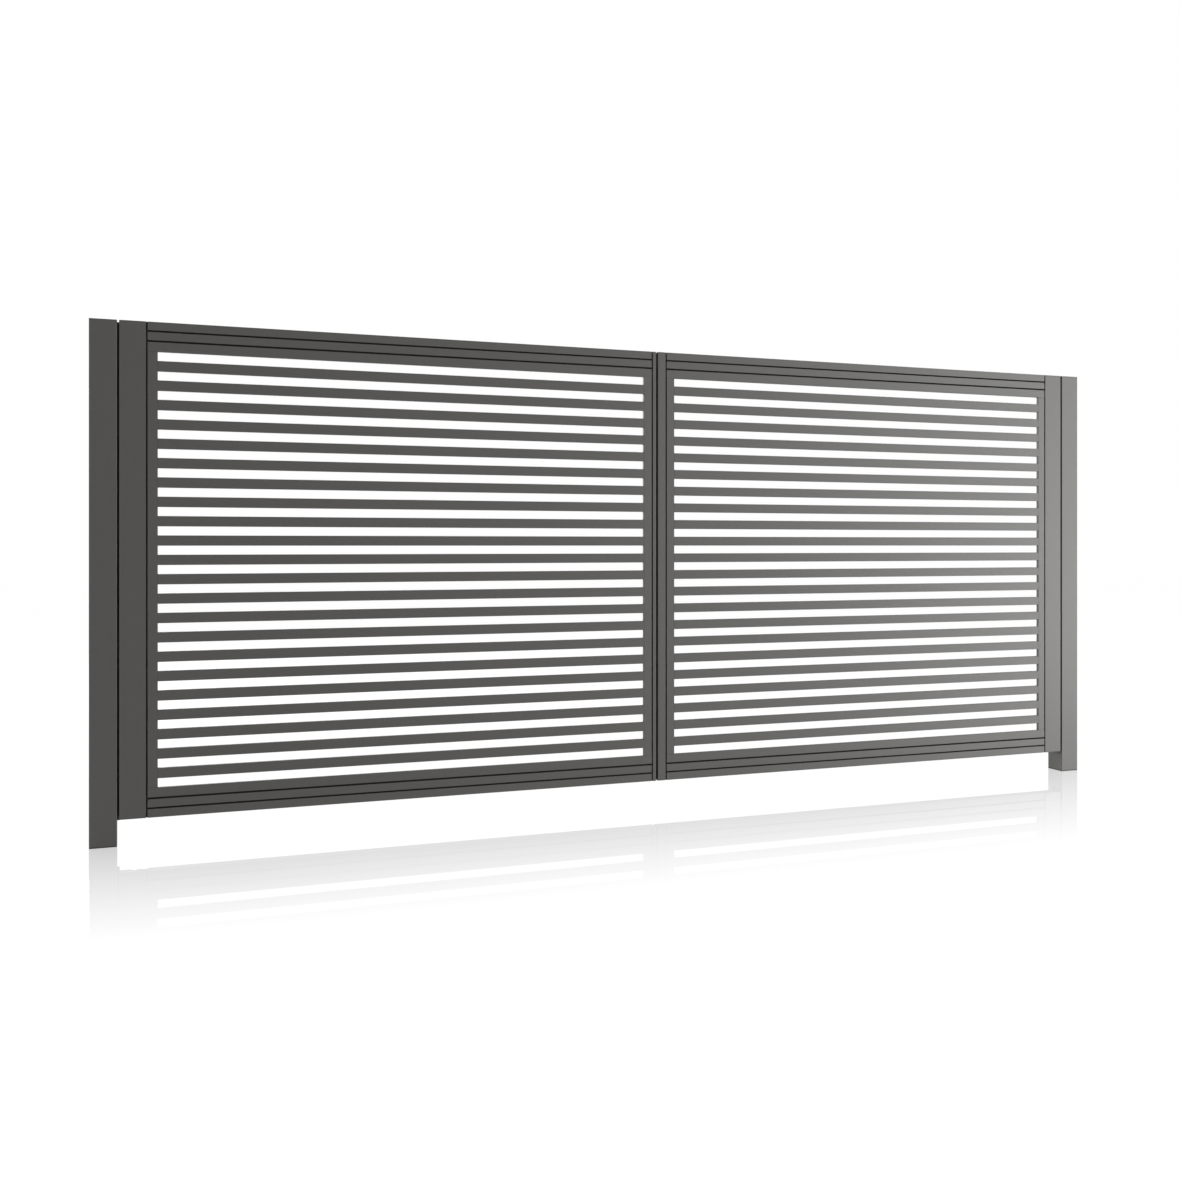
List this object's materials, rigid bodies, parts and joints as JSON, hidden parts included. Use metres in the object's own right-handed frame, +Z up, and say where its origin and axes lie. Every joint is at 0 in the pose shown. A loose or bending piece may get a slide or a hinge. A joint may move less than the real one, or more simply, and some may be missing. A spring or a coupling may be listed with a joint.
{
  "type": "aluminium double swing gate",
  "caption": "Double-leaf aluminium swing gate with horizontal slats in framed leaves, hung on square posts.",
  "frame": {"origin": "middle of the left post's foot, at ground level", "axes": "+X along the gate from the left post to the right post seen from the front, -Y out of the front face, leaves open towards +Y, +Z up"},
  "size_m": [3.76, 0.08, 1.614],
  "materials": {
    "powder_coated_aluminium": "anthracite powder coat, satin",
    "end_caps": "moulded plastic, matched anthracite",
    "hinge_steel": "powder-coated steel, satin",
    "pin_steel": "turned stainless steel"
  },
  "bodies": {
    "posts": {"left_gap_strip": "powder_coated_aluminium", "left_lower_hinge_pin": "pin_steel", "left_lower_post_hinge_bracket": "hinge_steel", "left_post": "powder_coated_aluminium", "left_post_cap": "end_caps", "left_post_foot": "powder_coated_aluminium", "left_upper_hinge_pin": "pin_steel", "left_upper_post_hinge_bracket": "hinge_steel", "right_gap_strip": "powder_coated_aluminium", "right_lower_hinge_pin": "pin_steel", "right_lower_post_hinge_bracket": "hinge_steel", "right_post": "powder_coated_aluminium", "right_post_cap": "end_caps", "right_post_foot": "powder_coated_aluminium", "right_upper_hinge_pin": "pin_steel", "right_upper_post_hinge_bracket": "hinge_steel"},
    "left_leaf": {"left_bottom_rail": "powder_coated_aluminium", "left_hinge_stile": "powder_coated_aluminium", "left_hinge_stile_caps": "end_caps", "left_infill_bottom_bar": "powder_coated_aluminium", "left_infill_hinge_side_bar": "powder_coated_aluminium", "left_infill_meeting_side_bar": "powder_coated_aluminium", "left_infill_top_bar": "powder_coated_aluminium", "left_lower_leaf_hinge_bracket": "hinge_steel", "left_meeting_stile": "powder_coated_aluminium", "left_meeting_stile_caps": "end_caps", "left_slats": "powder_coated_aluminium", "left_top_rail": "powder_coated_aluminium", "left_upper_leaf_hinge_bracket": "hinge_steel"},
    "right_leaf": {"right_bottom_rail": "powder_coated_aluminium", "right_hinge_stile": "powder_coated_aluminium", "right_hinge_stile_caps": "end_caps", "right_infill_bottom_bar": "powder_coated_aluminium", "right_infill_hinge_side_bar": "powder_coated_aluminium", "right_infill_meeting_side_bar": "powder_coated_aluminium", "right_infill_top_bar": "powder_coated_aluminium", "right_lower_leaf_hinge_bracket": "hinge_steel", "right_meeting_stile": "powder_coated_aluminium", "right_meeting_stile_caps": "end_caps", "right_slats": "powder_coated_aluminium", "right_top_rail": "powder_coated_aluminium", "right_upper_leaf_hinge_bracket": "hinge_steel"}
  },
  "joints": [
    {"name": "left_leaf_swing", "type": "hinge", "parent": "posts", "child": "left_leaf", "pos_m": [0.062, 0.022, 0], "axis": [0, 0, 1], "range_deg": [0, 90]},
    {"name": "right_leaf_swing", "type": "hinge", "parent": "posts", "child": "right_leaf", "pos_m": [3.618, 0.022, 0], "axis": [0, 0, -1], "range_deg": [0, 90]}
  ]
}
